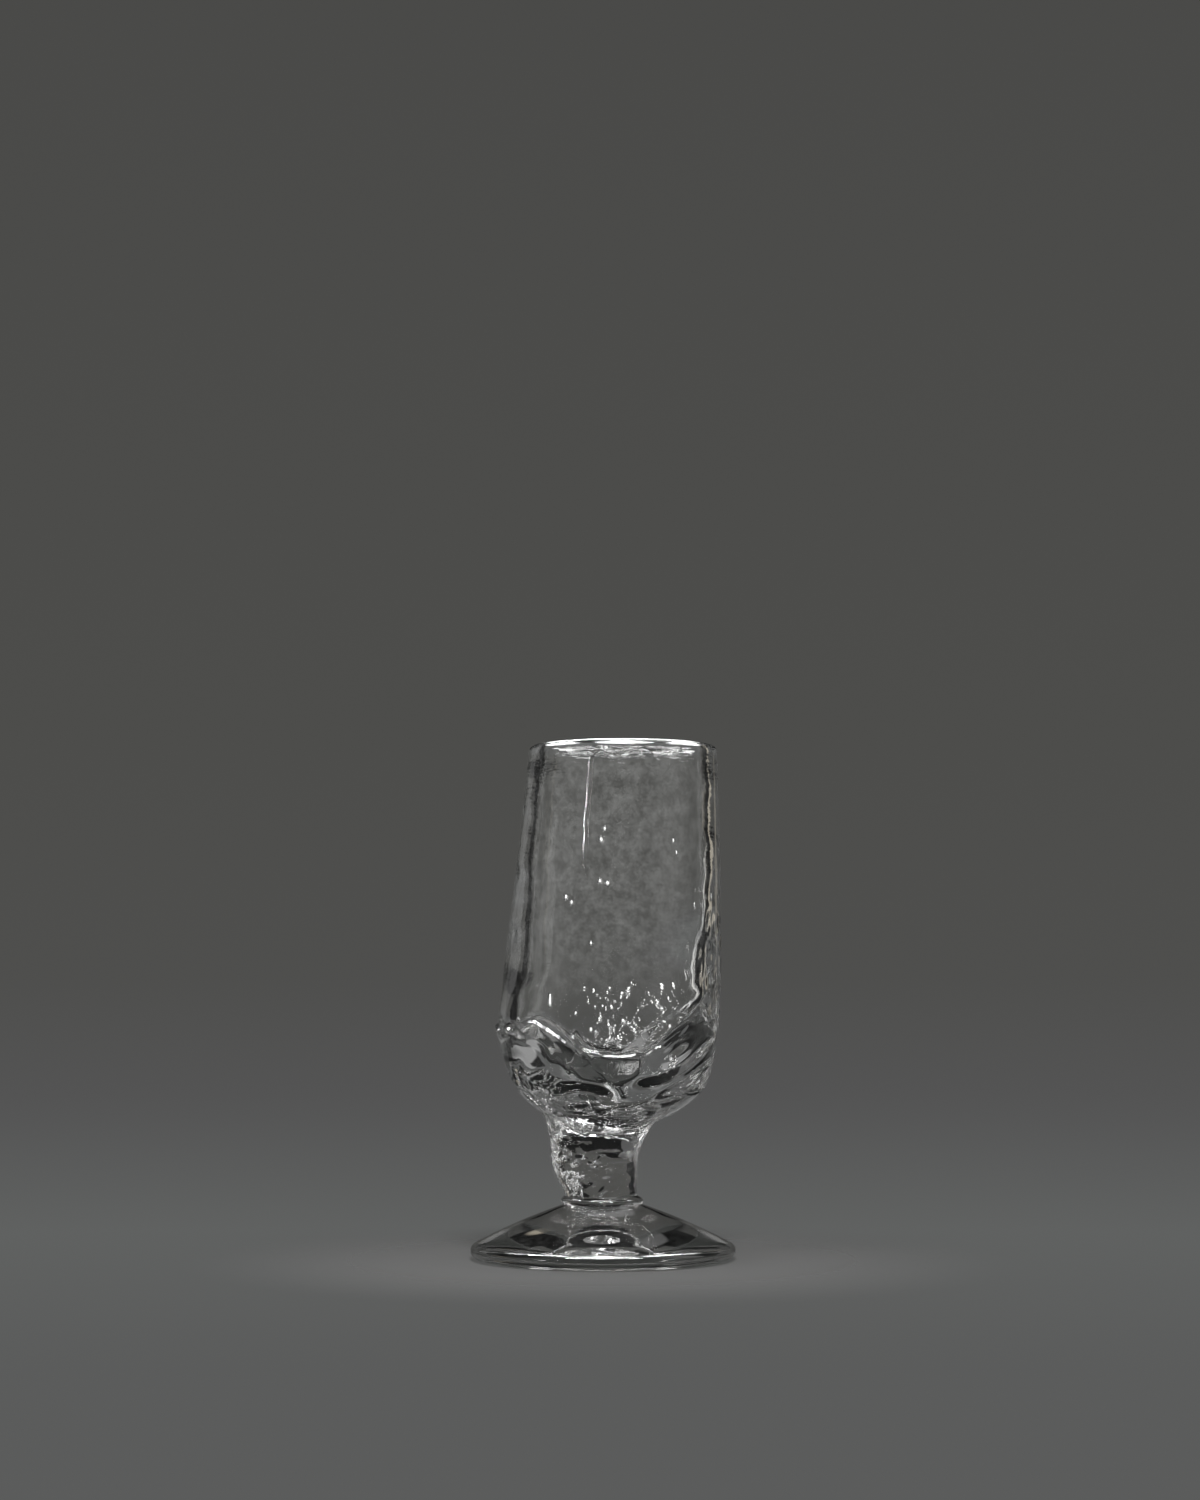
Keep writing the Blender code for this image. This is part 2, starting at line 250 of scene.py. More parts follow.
# Glass: depth of its ripples, which are full near the rim, and its smears, which vary its haze and tone
GLASS_IOR = 1.5
CLEAREST_TONE = (0.995, 0.995, 0.99)
RIPPLE_DEPTH = 0.0002
RIPPLE_DETAIL = 2.0
RIPPLE_CALM_LEVEL = 0.126
RIPPLE_FULL_LEVEL = 0.146
SMEARS_PER_METRE = 60.0
SMEAR_DETAIL = 4.0
HAZE_START = 0.45
HAZE_FULL = 0.8
SHADOW_TINT = (0.74, 0.75, 0.74)

# Film on the glass: size, detail and contrast of its mottles
FILM_FEATURE = 0.004
FILM_DETAIL = 6.0
FILM_ROUGHNESS = 0.8
FILM_START = 0.45
FILM_FULL = 0.62
# Films: share, level where it starts and level where it is full
WALL_FILM = (0.034, 0.072, 0.090)
FOOT_FILM = (0.010, -0.002, -0.001)

# Mesh fineness
SEGMENTS = 384
STEM_ROWS = 120
GATHER_ROWS = 100
DOME_ROWS = 6
LEDGE_ROWS = 16
WALL_ROWS = 64
RIM_ROWS = 18
BORE_ROWS = 56
FILLET_ROWS = 8
FLOOR_ROWS = 48
HOLLOW_ROWS = 24
STAND_ROWS = 12
EDGE_ROWS = 12
SHOULDER_ROWS = 14
CONE_ROWS = 48
COLLAR_ROWS = 25

# Places of the two materials on every piece
GLASS = 0
SEAM = 1

# Disc of floor under the goblet, which fades into the surround
STAGE_RADIUS = 0.16
STAGE_SIDES = 96
STAGE_DROP = 0.0001
STAGE_COLOUR = (0.113, 0.113, 0.112)
STAGE_ROUGHNESS = 0.8
STAGE_FADE_START = 0.05
STAGE_FADE_END = 0.13

# Tones of the surround: elevation in degrees, colour
WORLD_TONES = (
    (-90.0, (0.105, 0.107, 0.106)),
    (-7.5, (0.105, 0.107, 0.106)),
    (-4.9, (0.117, 0.121, 0.119)),
    (-2.4, (0.089, 0.089, 0.089)),
    (0.0, (0.078, 0.078, 0.075)),
    (5.0, (0.074, 0.074, 0.070)),
    (20.0, (0.068, 0.068, 0.065)),
    (28.0, (0.020, 0.020, 0.020)),
    (50.0, (0.006, 0.006, 0.006)),
    (90.0, (0.006, 0.006, 0.006)),
)

# What lamps and cards face
STAND_MIDDLE = (0.0, 0.0, 0.0)
STEM_TOP = (0.0, 0.0, 0.045)
BASE_MIDDLE = (0.0, 0.0, 0.06)
GOBLET_MIDDLE = (0.0, 0.0, 0.09)
RIM_MIDDLE = (0.006, 0.0, 0.155)
LEFT_WALL = (-0.028, 0.010, 0.112)
RIGHT_WALL = (0.034, 0.0, 0.095)
RIGHT_EDGE = (0.034, 0.010, 0.115)

# Lamps that light the floor and the film, unseen in the glass: place, target, width and height, power
FLOOR_LAMP = ((0.05, -0.55, 0.70), STAND_MIDDLE, (0.22, 0.22), 11.2)
FILM_LAMP = ((-0.60, -0.40, 0.30), GOBLET_MIDDLE, (0.20, 0.20), 2.5)
# Small ceiling lamps that light the seeds and crinkles: places in X and Y
SPARK_PLACES = ((0.0, 0.0), (-0.45, 0.20), (-0.32, -0.42), (0.34, -0.40), (0.45, 0.22))
SPARK_LEVEL = 0.80
SPARK_SIZE = (0.14, 0.14)
SPARK_POWER = 3.0
# Small lamps above each other in front, whose mirrored row is the long streak in the wall
FRONT_PLACE = (-0.42, -0.50)
FRONT_LEVELS = (0.257, 0.271, 0.285)
FRONT_SIZE = (0.018, 0.006)
FRONT_POWER = 0.026

# Least and most glass faces that a line of sight crosses on its way to a card
OUTERMOST = (0, 0)
MIRRORED = (0, 2)
THROUGH_SOLID = (2, 2)
THROUGH_DROPS = (3, 6)
THROUGH_STEM_SEEDS = (4, 40)
THROUGH_SEEDS = (5, 40)
THROUGH_DEEP_SEEDS = (6, 40)
ANY_FACES = None

# Colours of the cards
WHITE = (1.0, 1.0, 1.0)
WARM = (1.0, 0.90, 0.72)
# Soft cards that only the glass shows: name, place, target, width and height, radiance, share of the way
# to the edge that is evenly bright, faces crossed, and a colour where it isn't white
EDGE_CARDS = (
    ("drop_glow", (0.095, 0.06, 0.095), RIGHT_WALL, (0.06, 0.09), 1.0, 0.5, THROUGH_DROPS),
    ("left_stem_glow", (-0.07, 0.05, 0.045), STEM_TOP, (0.06, 0.06), 2.0, 0.5, THROUGH_STEM_SEEDS),
    ("right_stem_glow", (0.07, 0.05, 0.045), STEM_TOP, (0.06, 0.06), 2.0, 0.5, THROUGH_STEM_SEEDS),
    ("top_card", (0.0, -0.25, 0.80), GOBLET_MIDDLE, (0.70, 0.90), 20.0, 0.4, OUTERMOST),
)
ROOM_CARDS = (
    ("left_wing", (-0.52, 0.34, 0.75), GOBLET_MIDDLE, (0.40, 0.40), 10.0, 0.3, OUTERMOST),
    ("right_wing", (0.52, 0.34, 0.75), GOBLET_MIDDLE, (0.40, 0.40), 10.0, 0.3, OUTERMOST),
    ("seed_card", (0.0, 0.45, 0.72), GOBLET_MIDDLE, (1.40, 0.80), 7.0, 0.5, THROUGH_SEEDS),
    ("left_glow", (-0.70, -0.25, 0.25), GOBLET_MIDDLE, (0.90, 1.00), 0.22, 0.1, ANY_FACES),
    ("right_glow", (0.72, -0.30, 0.25), GOBLET_MIDDLE, (0.90, 1.00), 0.18, 0.1, ANY_FACES),
    ("warm_glow", (0.115, 0.10, 0.115), RIGHT_EDGE, (0.022, 0.13), 0.36, 0.5, ANY_FACES, WARM),
    ("lobe_card", (0.155, 0.507, -0.222), BASE_MIDDLE, (0.22, 0.32), 0.30, 0.8, ANY_FACES),
    ("back_glow", (-0.036, 0.694, -0.025), BASE_MIDDLE, (0.20, 0.12), 0.10, 0.6, THROUGH_SOLID),
    # Glowing cards lying on the table beside the foot: a painted pool of light on the table, seen only
    # through the glass
    ("left_table_glow", (-0.070, 0.0, 0.0005), (-0.070, 0.0, 0.1), (0.055, 0.12), 0.25, 0.6, THROUGH_SOLID),
    ("right_table_glow", (0.070, 0.0, 0.0005), (0.070, 0.0, 0.1), (0.055, 0.12), 0.25, 0.6, THROUGH_SOLID),
    ("wall_glow", (-0.062, 0.10, 0.112), LEFT_WALL, (0.056, 0.15), 0.09, 0.9, THROUGH_SOLID),
    ("seed_glow", (0.0, 0.90, 0.25), GOBLET_MIDDLE, (1.60, 1.20), 2.2, 0.5, THROUGH_DEEP_SEEDS),
)
# Ring of cards above the rim
RIM_CARD_DIRECTIONS = (0.0, 90.0, 180.0, 270.0)
RIM_CARD_RING = 0.10
RIM_CARD_LEVEL = 0.235
RIM_CARD_SIZE = (0.14, 0.08)
RIM_CARD_RADIANCE = 25.0
RIM_CARD_CORE = 0.5

# Dark room round the set: its opening and the ends of its side flags, in degrees to each side of +Y,
# and the elevations of its lower and upper edges
ROOM_RADIUS = 1.7
ROOM_TONE = 0.004
ROOM_FOLDS = 61
ROOM_OPENING = 41.0
SIDE_FLAG_END = 62.0
ROOM_LOW = -40.0
ROOM_HIGH = 42.0
BACK_FLAG_LOW = 13.0
TABLE_FLAG_HIGH = -14.0

# Light paths that thick glass with seeds needs
GLASS_BOUNCES = 32
MIRROR_BOUNCES = 16
SEAM_BOUNCES = 64

angles = np.radians(np.arange(SEGMENTS) * 360.0 / SEGMENTS)
directions = np.degrees(angles)


def bell(distance, half_width):
    """A smooth bump, 1 in its middle."""
    return np.exp(-0.5 * (distance / half_width) ** 2)


def smooth_step(value):
    """Smooth rise from 0 to 1."""
    value = np.clip(value, 0.0, 1.0)
    return value * value * (3.0 - 2.0 * value)


def shares(rows):
    """Even shares of the way to 1, without the start."""
    return np.linspace(0.0, 1.0, rows + 1)[1:]


def signed_turn(first, second):
    """Turn from the second direction to the first, between half a turn back and half a turn on."""
    return (first - second + 180.0) % 360.0 - 180.0


def turn_between(first, second):
    """Smallest difference of two directions."""
    return np.abs(signed_turn(first, second))


class Noise:
    """Smooth lattice noise from -1 to 1, the same on every run."""

    SIZE = 32
    SHIFT = 100.0

    def __init__(self, seed):
        self.lattice = np.random.default_rng(seed).uniform(-1.0, 1.0, (self.SIZE,) * 3)

    def at(self, points, feature_size):
        """Noise at each point, smoothed between the lattice's corners."""
        place = np.asarray(points) / feature_size + self.SHIFT
        cell = np.floor(place).astype(int)
        part = place - cell
        part = part * part * part * (part * (part * 6.0 - 15.0) + 10.0)
        total = np.zeros(place.shape[:-1])
        for corner in np.ndindex(2, 2, 2):
            weight = np.ones(place.shape[:-1])
            for axis in range(3):
                weight = weight * (part[..., axis] if corner[axis] else 1.0 - part[..., axis])
            index = tuple((cell[..., axis] + corner[axis]) % self.SIZE for axis in range(3))
            total += weight * self.lattice[index]
        return total


relief_noise = Noise(seed=11)
bore_noise = Noise(seed=12)
crinkle_noise = Noise(seed=13)


def smooth_curve(points, steps):
    """Dense points of a Catmull-Rom curve through given ones."""
    points = np.array(points)
    ends = np.vstack((2 * points[0] - points[1], points, 2 * points[-1] - points[-2]))
    share = np.linspace(0.0, 1.0, steps, endpoint=False)[:, None]
    pieces = []
    for before, start, stop, after in zip(ends, ends[1:], ends[2:], ends[3:]):
        pieces.append(0.5 * (
            2 * start + (stop - before) * share
            + (2 * before - 5 * start + 4 * stop - after) * share ** 2
            + (3 * start - before - 3 * stop + after) * share ** 3
        ))
    return np.vstack(pieces + [points[-1:]])


skin_levels, skin_offsets, skin_radii = smooth_curve(SKIN_POINTS, SKIN_STEPS).T
skin_lengths = np.concatenate(([0.0], np.cumsum(np.hypot(np.diff(skin_levels), np.diff(skin_radii)))))


def skin_offset(level):
    """How far the skin's middle lies towards +X."""
    return np.interp(level, skin_levels, skin_offsets)


def skin_radius(level):
    """Radius of the skin without its relief."""
    return np.interp(level, skin_levels, skin_radii)


def lip_level(direction):
    """Height of the lobed lip, round the floor inside and along the gather's edge outside."""
    rises = [rise * bell(turn_between(direction, middle), width) for middle, rise, width in LIP_LOBES]
    return LIP_LEVEL + np.maximum.reduce(rises)


lips = lip_level(directions)


def spread_lips():
    """The lip's level with its steps softened, which is what the floor follows away from the wall."""
    weights = bell(turn_between(directions[:, None], directions[None, :]), FLOOR_LIP_SPREAD)
    return weights @ lips / weights.sum(axis=1)


soft_lips = spread_lips()


def on_circle(radius, level, offset):
    """Ring of points from radii, levels and offsets, each a number or one value a segment."""
    radius, level, offset = (np.broadcast_to(value, angles.shape) for value in (radius, level, offset))
    return np.stack((offset + radius * np.cos(angles), radius * np.sin(angles), level), axis=-1)


def ledge(level):
    """Step of the outer skin below the gather's wavy edge, which dies out further down."""
    edge = lips.copy()
    round_lips = on_circle(BELLY_RADIUS, lips, 0.0)
    for height, feature_size in LEDGE_WIGGLES:
        edge = edge + height * crinkle_noise.at(round_lips, feature_size)
    step = smooth_step((edge - level) / LEDGE_HEIGHT + 0.5)
    middle, width, lost = LEDGE_MELT
    depth = LEDGE_DEPTH * (1.0 - lost * bell(turn_between(directions, middle), width))
    return depth * step * np.exp(-np.maximum(lips - level, 0.0) / LEDGE_FADE)


def crinkles(ring, level):
    """Crinkled glass and creases in their own stretches of the skin, none at the collar."""
    total = np.zeros_like(level)
    for middle, width, rise, height, depth, feature_size, stretch in CRINKLES:
        mask = bell(turn_between(directions, middle), width) * bell(level - rise, height)
        place = ring / np.array((1.0, 1.0, stretch))
        fine = CRINKLE_FINE_SHARE * crinkle_noise.at(place, feature_size / 2)
        total = total + depth * mask * (crinkle_noise.at(place, feature_size) + fine)
    for middle, width, rise, height, depth, tilt in CREASES:
        turn = signed_turn(directions, middle)
        total = total - depth * bell(turn, width) * bell(level - rise - tilt * turn, height)
    return total * np.clip((level - COLLAR_SEAM) / CRINKLE_START, 0.0, 1.0)


def lenses(ring, level):
    """Smooth rings round the middle of each lens."""
    total = np.zeros_like(level)
    front = smooth_step(-ring[:, 1] / LENS_FRONT_FADE)
    for x, rise, pitch_across, pitch_up, tilt, height, reach in LENSES:
        turn = math.radians(tilt)
        across = ring[:, 0] - x
        up = level - rise
        far = np.hypot((across * math.cos(turn) + up * math.sin(turn)) / pitch_across,
                       (up * math.cos(turn) - across * math.sin(turn)) / pitch_up)
        total = total + height * np.cos(2 * np.pi * far) * bell(far, reach)
    return total * front


def lumps(ring, level):
    """Soft lumps, larger on the gather than on the wall."""
    on_gather = np.clip((GATHER_LUMP_TOP - level) / GATHER_LUMP_FADE, 0.0, 1.0)
    total = (WALL_LUMP + GATHER_LUMP * on_gather) * relief_noise.at(ring, LUMP_SIZE)
    for height, feature_size in FINE_LUMPS:
        total = total + height * relief_noise.at(ring, feature_size)
    return total


def skin_ring(level):
    """Ring of the outer skin with its relief."""
    level = np.broadcast_to(level, angles.shape)
    radius = skin_radius(level)
    ring = on_circle(radius, level, skin_offset(level))
    above_stem = np.clip((level - STEM_SEAM) / RELIEF_START, 0.0, 1.0)
    below_rim = np.clip((RIM_LEVEL - level) / RELIEF_STOP, 0.0, 1.0)
    relief = lumps(ring, level) + ledge(level) + lenses(ring, level)
    relief = relief * (above_stem * below_rim) + crinkles(ring, level)
    return on_circle(radius + relief, level, skin_offset(level))


def bore_ring(level):
    """Ring of the wall's inner face."""
    level = np.broadcast_to(level, angles.shape)
    wall = WALL_THICKNESS * np.ones_like(level)
    sides = sum(bell(turn_between(directions, middle), width) for middle, width in WAVE_SIDES)
    for height, pitch, turns in WALL_WAVES:
        wall = wall + sides * height * np.sin(2 * np.pi * level / pitch + turns * angles)
    for middle, rise, added, width, fade_up, fade_down in WALL_SWELLS:
        fade = np.where(level > rise, fade_up, fade_down)
        wall = wall + added * bell(turn_between(directions, middle), width) * bell(level - rise, fade)
    radius = skin_radius(level) - wall
    ring = on_circle(radius, level, skin_offset(level))
    radius = radius + BORE_LUMP * bore_noise.at(ring, BORE_LUMP_SIZE)
    return on_circle(radius, level, skin_offset(level))


def floor_ring(share):
    """Ring of the dished floor, at a share of the way from its middle to the wall."""
    edge = bore_ring(lips)
    middle = np.array((FLOOR_MIDDLE_X, 0.0, 0.0))
    ring = middle + (edge - middle) * share
    rise = soft_lips + (lips - soft_lips) * share ** FLOOR_LIP_POWER
    ring[:, 2] = rise - (rise - FLOOR_LEVEL) * (1.0 - share ** 2) ** FLOOR_DISH_POWER
    return ring


def foot_rows():
    """Hollow, standing ring, rounded edge, shoulder and crowned cone of the foot."""
    stand = FOOT_RADIUS - FOOT_EDGE_INSET
    rows = []
    for share in shares(HOLLOW_ROWS):
        depth = FOOT_HOLLOW_DEPTH * (1.0 - share ** 2) ** 2
        rows.append(on_circle(FOOT_HOLLOW_RADIUS * share, depth, 0.0))
    for share in shares(STAND_ROWS):
        rows.append(on_circle(FOOT_HOLLOW_RADIUS + (stand - FOOT_HOLLOW_RADIUS) * share, 0.0, 0.0))
    for angle in np.linspace(0.0, np.pi / 2, EDGE_ROWS + 1)[1:]:
        radius = stand + FOOT_EDGE_INSET * math.sin(angle)
        rows.append(on_circle(radius, FOOT_EDGE * (1 - math.cos(angle)), 0.0))
    slope = math.atan2(FOOT_SEAM - 2 * FOOT_EDGE, FOOT_RADIUS - FOOT_TOP_RADIUS)
    turn = np.pi / 2 - slope
    for angle in np.linspace(0.0, turn, SHOULDER_ROWS + 1)[1:]:
        radius = FOOT_RADIUS - FOOT_EDGE * (1 - math.cos(angle))
        rows.append(on_circle(radius, FOOT_EDGE * (1 + math.sin(angle)), 0.0))
    shoulder = FOOT_RADIUS - FOOT_EDGE * (1 - math.cos(turn))
    shoulder_level = FOOT_EDGE * (1 + math.sin(turn))
    for share in shares(CONE_ROWS):
        radius = shoulder + (COLLAR_FOOT_RADIUS - shoulder) * share
        level = shoulder_level + (FOOT_SEAM - shoulder_level) * share
        rows.append(on_circle(radius, level + FOOT_CROWN * math.sin(math.pi * share), 0.0))
    return rows


def collar_rows():
    """Bulging bead between the foot and the stem."""
    rows = []
    for share in np.linspace(0.0, 1.0, COLLAR_ROWS):
        radius = COLLAR_FOOT_RADIUS + (COLLAR_TOP_RADIUS - COLLAR_FOOT_RADIUS) * share
        radius += COLLAR_BULGE * math.sin(math.pi * share)
        level = FOOT_SEAM + (COLLAR_SEAM - FOOT_SEAM) * share
        rows.append(on_circle(radius, level, COLLAR_TOP_OFFSET * share))
    return rows


def stem_rows():
    """Skin of the stem, from the collar up to the gather."""
    rows = []
    for share in np.linspace(0.0, 1.0, STEM_ROWS):
        rows.append(skin_ring(COLLAR_SEAM + (STEM_SEAM - COLLAR_SEAM) * share))
    return rows


def gather_outer_rows():
    """Skin of the gather, in even steps along its curve, with finer ones under its edge."""
    start = np.interp(STEM_SEAM, skin_levels, skin_lengths)
    stop = np.interp(lips, skin_levels, skin_lengths)
    near = stop - LEDGE_ZONE
    rows = []
    for share in np.linspace(0.0, 1.0, GATHER_ROWS)[:-1]:
        rows.append(skin_ring(np.interp(start + (near - start) * share, skin_lengths, skin_levels)))
    for share in np.linspace(0.0, 1.0, LEDGE_ROWS):
        rows.append(skin_ring(np.interp(near + (stop - near) * share, skin_lengths, skin_levels)))
    return rows


def dome_rows():
    """Seam between the bowl and the gather, from near its pole up to the lobed edge."""
    edge = skin_ring(lips)
    middle = np.array((skin_offset(DOME_BOTTOM), 0.0, DOME_BOTTOM))
    rows = []
    for share in shares(DOME_ROWS):
        ring = middle + (edge - middle) * np.array((share, share, 1.0))
        ring[:, 2] = DOME_BOTTOM + (lips - DOME_BOTTOM) * (1.0 - math.sqrt(1.0 - share ** 2))
        rows.append(ring)
    return rows


def wall_rows():
    """Outer face of the wall, with finer rows above the gather's edge."""
    rows = []
    for share in np.linspace(0.0, 1.0, LEDGE_ROWS)[1:-1]:
        rows.append(skin_ring(lips + LEDGE_ZONE * share))
    for share in np.linspace(0.0, 1.0, WALL_ROWS):
        rows.append(skin_ring(lips + LEDGE_ZONE + (RIM_SPRING - lips - LEDGE_ZONE) * share))
    return rows


def rim_rows():
    """Half round of the rim, from the outer face over to the bore."""
    outer = skin_ring(RIM_SPRING)
    inner = bore_ring(RIM_SPRING)
    middle = (outer + inner) / 2
    rows = []
    for share in shares(RIM_ROWS)[:-1]:
        ring = middle + (outer - inner) / 2 * math.cos(math.pi * share)
        ring[:, 2] = RIM_SPRING + (RIM_LEVEL - RIM_SPRING) * math.sin(math.pi * share)
        rows.append(ring)
    return rows


def cavity_rows():
    """Bore, rounded corner at the lip and dished floor."""
    top = lips + FLOOR_FILLET
    rows = []
    for share in np.linspace(0.0, 1.0, BORE_ROWS):
        rows.append(bore_ring(RIM_SPRING + (top - RIM_SPRING) * share))
    floor_share = 1.0 - FLOOR_FILLET / FLOOR_RADIUS
    corner_start = bore_ring(top)
    corner = floor_ring(1.0)
    corner_stop = floor_ring(floor_share)
    for share in shares(FILLET_ROWS):
        ring = corner_start * (1 - share) ** 2 + corner * 2 * share * (1 - share) + corner_stop * share ** 2
        rows.append(ring)
    for share in np.linspace(floor_share, 0.0, FLOOR_ROWS)[1:-1]:
        rows.append(floor_ring(share))
    return rows


def unit_ball(fineness):
    """Corners and triangles of a ball of radius 1 that faces inwards."""
    ball = bmesh.new()
    bmesh.ops.create_icosphere(ball, subdivisions=fineness, radius=1.0)
    corners = np.array([vertex.co for vertex in ball.verts])
    faces = np.array([[vertex.index for vertex in reversed(face.verts)] for face in ball.faces])
    ball.free()
    return corners, faces


def from_middle(place):
    """How far a place lies from the skin's middle at its level."""
    return math.hypot(place[0] - skin_offset(place[2]), place[1])


def in_stem(place, size):
    """True where a seed keeps clear of the stem's skin and seams."""
    inside = from_middle(place) < skin_radius(place[2]) - size - STEM_SEED_COVER
    return inside and COLLAR_SEAM + size < place[2] < STEM_SEAM - size


def in_gather(place, size):
    """True where a seed keeps clear of the gather's skin."""
    return from_middle(place) < skin_radius(place[2]) - size - GATHER_SEED_COVER


def in_wall(place, size):
    """True where a seed lies inside the bowl's wall."""
    outer = skin_radius(place[2])
    least = outer - WALL_THICKNESS + size + WALL_SEED_COVER_INSIDE
    return least < from_middle(place) < outer - size - WALL_SEED_COVER_OUTSIDE


def scattered(patches, room):
    """Seeds at random places in each patch, kept where room(place, size) is true."""
    seeds = []
    for random_seed, count, low, high, (least, largest), stretch in patches:
        draw = np.random.default_rng(random_seed)
        patch = []
        while len(patch) < count:
            place = draw.uniform(low, high)
            size = least + (largest - least) * draw.random() ** SEED_SIZE_POWER
            if room(place, size):
                fineness = SMALL_BALL if size < SMALL_SEED else LARGE_BALL
                patch.append((place, size * np.array(stretch), fineness))
        seeds += patch
    return seeds


def front_seeds():
    """Single seeds in the middle of the front wall."""
    seeds = []
    for x, level, size, tall in FRONT_SEEDS:
        out = skin_radius(level) - WALL_THICKNESS / 2
        aside = x - skin_offset(level)
        place = np.array((x, -math.sqrt(out ** 2 - aside ** 2), level))
        seeds.append((place, np.array((size, size, size * tall)), LARGE_BALL))
    return seeds


def add_object(name, data):
    """New object in the scene."""
    thing = bpy.data.objects.new(name, data)
    bpy.context.scene.collection.objects.link(thing)
    return thing


def loft_faces(count, kinds):
    """Faces of a closed loft and their materials. Its two poles come after the corners of its rings."""
    index = np.arange(SEGMENTS)
    following = (index + 1) % SEGMENTS
    first_pole = np.full(SEGMENTS, count * SEGMENTS)
    last_pole = first_pole + 1
    last_ring = (count - 1) * SEGMENTS
    faces = np.stack((first_pole, following, index), axis=-1).tolist()
    for low in range(0, last_ring, SEGMENTS):
        high = low + SEGMENTS
        faces += np.stack((low + index, low + following, high + following, high + index), axis=-1).tolist()
    faces += np.stack((last_ring + index, last_ring + following, last_pole), axis=-1).tolist()
    return faces, np.repeat(kinds, SEGMENTS).tolist()


def mark_seams(mesh, kinds, count):
    """Sharp edges on the rings where clear seam faces meet glass faces."""
    ends = np.zeros(len(mesh.edges) * 2, dtype=np.int32)
    mesh.edges.foreach_get("vertices", ends)
    rings = ends.reshape(-1, 2) // SEGMENTS
    seams = [row for row in range(count) if kinds[row] != kinds[row + 1]]
    sharp = (rings[:, 0] == rings[:, 1]) & np.isin(rings[:, 0], seams)
    attribute = mesh.attributes.new("sharp_edge", "BOOLEAN", "EDGE")
    attribute.data.foreach_set("value", sharp)


def glass_piece(name, node, rows, kinds, materials, seeds=()):
    """Closed loft through rows of points, with seeds in it. Each band and pole has its kind of material."""
    rows = np.array(rows)
    count = len(rows)
    corners = np.vstack((rows.reshape(-1, 3), rows[0].mean(0), rows[-1].mean(0)))
    faces, face_kinds = loft_faces(count, kinds)
    balls = {fineness: unit_ball(fineness) for fineness in (SMALL_BALL, LARGE_BALL)}
    for middle, radii, fineness in seeds:
        ball_corners, ball_faces = balls[fineness]
        faces += (ball_faces + len(corners)).tolist()
        face_kinds += [GLASS] * len(ball_faces)
        corners = np.vstack((corners, middle + ball_corners * radii))
    mesh = bpy.data.meshes.new(name)
    mesh.from_pydata(corners.tolist(), [], faces)
    for material in materials:
        mesh.materials.append(material)
    mesh.polygons.foreach_set("material_index", face_kinds)
    mesh.shade_smooth()
    mark_seams(mesh, kinds, count)
    mesh.update()
    piece = add_object(name, mesh)
    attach(piece, "root")
    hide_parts(node)


def new_material(name):
    """Material, its node tree and its shader."""
    material = bpy.data.materials.new(name)
    material.use_nodes = True
    tree = material.node_tree
    return material, tree, tree.nodes["Principled BSDF"]


def bare_material(name):
    """Material and its node tree, with no shader yet."""
    material, tree, shader = new_material(name)
    tree.nodes.remove(shader)
    return material, tree


def show_surface(tree, shader_output):
    """Make a shader the material's surface."""
    tree.links.new(shader_output, tree.nodes["Material Output"].inputs["Surface"])


def object_place(tree):
    """Place on a surface in its object's own coordinates."""
    return tree.nodes.new("ShaderNodeTexCoord").outputs["Object"]


def height_part(tree, place):
    """Third coordinate of a place."""
    split = tree.nodes.new("ShaderNodeSeparateXYZ")
    tree.links.new(place, split.inputs["Vector"])
    return split.outputs["Z"]


def vector_length(tree, vector):
    """Length of a vector."""
    node = tree.nodes.new("ShaderNodeVectorMath")
    node.operation = "LENGTH"
    tree.links.new(vector, node.inputs[0])
    return node.outputs["Value"]


def scaled_vector(tree, operation, vector, scale):
    """Vector multiplied or divided by a scale for each axis."""
    node = tree.nodes.new("ShaderNodeVectorMath")
    node.operation = operation
    node.inputs[1].default_value = scale
    tree.links.new(vector, node.inputs[0])
    return node.outputs["Vector"]


def math_node(tree, operation, *values):
    """Result of an operation on node outputs and plain numbers."""
    node = tree.nodes.new("ShaderNodeMath")
    node.operation = operation
    for socket, value in zip(node.inputs, values):
        if isinstance(value, bpy.types.NodeSocket):
            tree.links.new(value, socket)
        else:
            socket.default_value = value
    return node.outputs["Value"]


def map_range(tree, value, start, stop, low, high, smooth=False):
    """Number that goes from low to high while a value goes from start to stop."""
    node = tree.nodes.new("ShaderNodeMapRange")
    if smooth:
        node.interpolation_type = "SMOOTHSTEP"
    node.inputs["From Min"].default_value = start
    node.inputs["From Max"].default_value = stop
    node.inputs["To Min"].default_value = low
    node.inputs["To Max"].default_value = high
    tree.links.new(value, node.inputs["Value"])
    return node.outputs["Result"]


def noise_pattern(tree, place, scale, detail, roughness=0.5):
    """Cloudy noise from 0 to 1."""
    noise = tree.nodes.new("ShaderNodeTexNoise")
    noise.inputs["Scale"].default_value = scale
    noise.inputs["Detail"].default_value = detail
    noise.inputs["Roughness"].default_value = roughness
    tree.links.new(place, noise.inputs["Vector"])
    return noise.outputs["Fac"]


